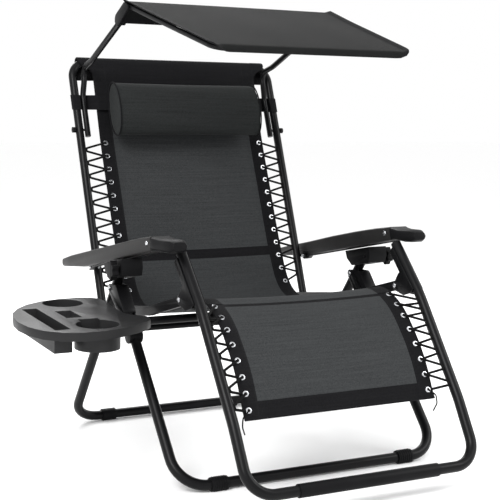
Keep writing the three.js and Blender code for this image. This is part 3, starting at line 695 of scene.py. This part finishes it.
ends = [v.index for v in bolster.data.vertices
        if abs(abs(v.co.x - middle.x) - (reach - 0.007)) < 0.004]
sewn.add(ends, 1.0, "REPLACE")
before = [v.co.copy() for v in bolster.data.vertices]
cloth = bolster.modifiers.new("stuffing", "CLOTH")
cloth.settings.quality = 5
cloth.settings.use_pressure = True
cloth.settings.uniform_pressure_force = 4
cloth.settings.effector_weights.gravity = 0
cloth.settings.vertex_group_mass = "end_seams"
cloth.point_cache.frame_start = 1
cloth.point_cache.frame_end = 20
for step in range(1, 21):
    bpy.context.scene.frame_set(step)
bpy.ops.object.modifier_apply(modifier=cloth.name)
bpy.context.scene.frame_set(1)
most = 0.010
for vertex, start in zip(bolster.data.vertices, before):
    moved = vertex.co - start
    if moved.length > most:
        vertex.co = start + moved * (most / moved.length)
fuller = bolster.modifiers.new("smoother", "SUBSURF")
fuller.levels = fuller.render_levels = 1
bpy.ops.object.modifier_apply(modifier=fuller.name)
settle(bolster, pillow_cover)
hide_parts("headrest_pillow")
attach(bolster, "headrest")
lay_back = Matrix.Rotation(-lean, 3, "X")
for name, side in SIDES:
    end_x = side * (1000 * reach - SEAM_INSET) + sum(BOLSTER["x"]) / 2
    ring = []
    for k in range(61):
        a = 2 * math.pi * k / 60
        spot = lay_back @ Vector((0, 42.8 * math.cos(a), 75.5 * math.sin(a)))
        ring.append(Vector((end_x, BOLSTER["y"] + spot.y, BOLSTER["z"] + spot.z)))
    piping = cord(f"headrest_piping_{name}", ring, PIPING_R, binding_cloth, 8)
    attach(piping, "headrest")

# ---- canopy -------------------------------------------------------------------------------
# Bent steel struts carry a plastic hub at each end of the ridge. The polyester canopy is one
# sheet from its rear flap over the ridge bar to the front bow, where it turns under in a hem.
def bow_z(y):
    return 1108 - (436 - y) * 0.285


canopy_cloth = woven("canopy_cloth", (0.0045, 0.0047, 0.0047), (0.0105, 0.011, 0.011), 0.0012, 0.9)
for name, side in SIDES:
    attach(eased("canopy_strut_" + name, powder_coat, 0.6, 2, 45), "canopy_struts")
    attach(eased("canopy_hub_" + name, black_plastic, 1.5), "canopy")
RIDGE = (452, 1113)
ridge_bar = bent_tube("canopy_ridge", [(-292.2, *RIDGE), (292.2, *RIDGE)], [0, 0], 6, powder_coat)
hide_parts("canopy_ridge_bar")
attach(ridge_bar, "canopy")
bow = bent_tube("canopy_bow", [
    (-286, 436, bow_z(436)), (-252, 26, bow_z(26)), (252, 26, bow_z(26)), (286, 436, bow_z(436)),
], [0, 34, 34, 0], 6, powder_coat)
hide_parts("canopy_front_bow")
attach(bow, "canopy")
canopy_side = [(483, 1071), (478, 1092), (470, 1110), (461, 1119), (450, 1122), (436, 1118.6)]
canopy_side += [(y, bow_z(y) + 9) for y in (330, 225, 120)]
canopy_side += [(30, bow_z(30) + 8.6), (19, bow_z(23) + 6), (16, bow_z(18) - 6)]
canopy_run = side_view(canopy_side, 7)
canopy_span = sum(math.dist(a, b) for a, b in zip(canopy_run, canopy_run[1:]))


def canopy_half(s):
    if s < 60:
        return 291.6
    half = 300 - (s - 60) / (canopy_span - 60) * 34
    past = max(0.0, s - (canopy_span - 45)) / 45
    return half - 34 * (1 - math.sqrt(max(0.0, 1 - past * past)))


def canopy_lift(s, t):
    """It dips between the bow's sides, waves a little, and rolls down over them at its edges."""
    open_part = min(1, max(0, (s - 60) / (canopy_span - 80)))
    dip = -4.5 * math.sin(math.pi * open_part) * (1 - t * t)
    wave = 0.8 * math.sin(9 * t) * math.sin(math.pi * open_part)
    return dip + wave - (5 * max(0, (abs(t) - 0.955) / 0.045) ** 2 if s > 60 else 0)


canopy, canopy_length = panel("canopy_cloth", canopy_run, canopy_half, canopy_lift,
                              [canopy_cloth, binding_cloth], 12, [(0, 14)], 2.0, 40)
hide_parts("canopy_fabric")
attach(canopy, "canopy")

# ---- side tray ----------------------------------------------------------------------------
# One dark grey moulding with two cup wells and two slots, on a black clamp round a front leg.
tray_plastic = coated("tray_plastic", (0.0175, 0.0175, 0.018), 0.38, 0.12, 520, 0.35, 0.0, 0.1)
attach(eased("side_tray", tray_plastic, 2.2, 3), "tray")
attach(eased("tray_bracket", black_plastic, 1.2), "front_legs")

# ---- floor, light and camera --------------------------------------------------------------
# A plain pale floor, an even white surround and three large soft lights.
bpy.ops.object.select_all(action="DESELECT")
bpy.ops.mesh.primitive_plane_add(size=60, location=(0, 0, 0))
floor = bpy.context.object
floor.name = "floor"
pale_floor = coated("pale_floor", (0.99, 0.99, 0.99), 0.9, 0.1, 40, 0.02, 0.0, 0.002)
floor.data.materials.append(pale_floor)

bpy.context.scene.view_settings.view_transform = "Standard"
studio = bpy.data.worlds.new("studio")
bpy.context.scene.world = studio
studio.use_nodes = True
studio.node_tree.nodes["Background"].inputs["Color"].default_value = (1, 1, 1, 1)
studio.node_tree.nodes["Background"].inputs["Strength"].default_value = 1.0
for name, place, size, watts in (("key", (-2.6, -2.2, 3.0), (1.8, 1.8), 150),
                                 ("fill", (2.8, -1.6, 2.2), (1.6, 1.6), 45),
                                 ("rim", (0.6, 3.0, 2.6), (2.2, 1.2), 70)):
    bpy.ops.object.light_add(type="AREA", location=place)
    light = bpy.context.object
    light.name = name
    light.data.shape = "RECTANGLE"
    light.data.size, light.data.size_y = size
    light.data.energy = watts
    light.rotation_euler = (Vector((0, 0, 0.5)) - Vector(place)).to_track_quat("-Z", "Y").to_euler()

bpy.ops.object.camera_add()
camera = bpy.context.object
camera.data.sensor_width = 36
camera.data.lens = 86.4
forward = Vector((0.4624, 0.8797, -0.1117)).normalized()
right = Vector((0.8857, -0.4642, 0.0108)).normalized()
up = right.cross(forward)
aim = Matrix((right, up, -forward)).transposed().to_4x4()
camera.matrix_world = Matrix.Translation(Vector((-1.424, -2.378, 0.845)) + CHAIR_PLACE) @ aim
bpy.context.scene.camera = camera

bpy.context.view_layer.update()
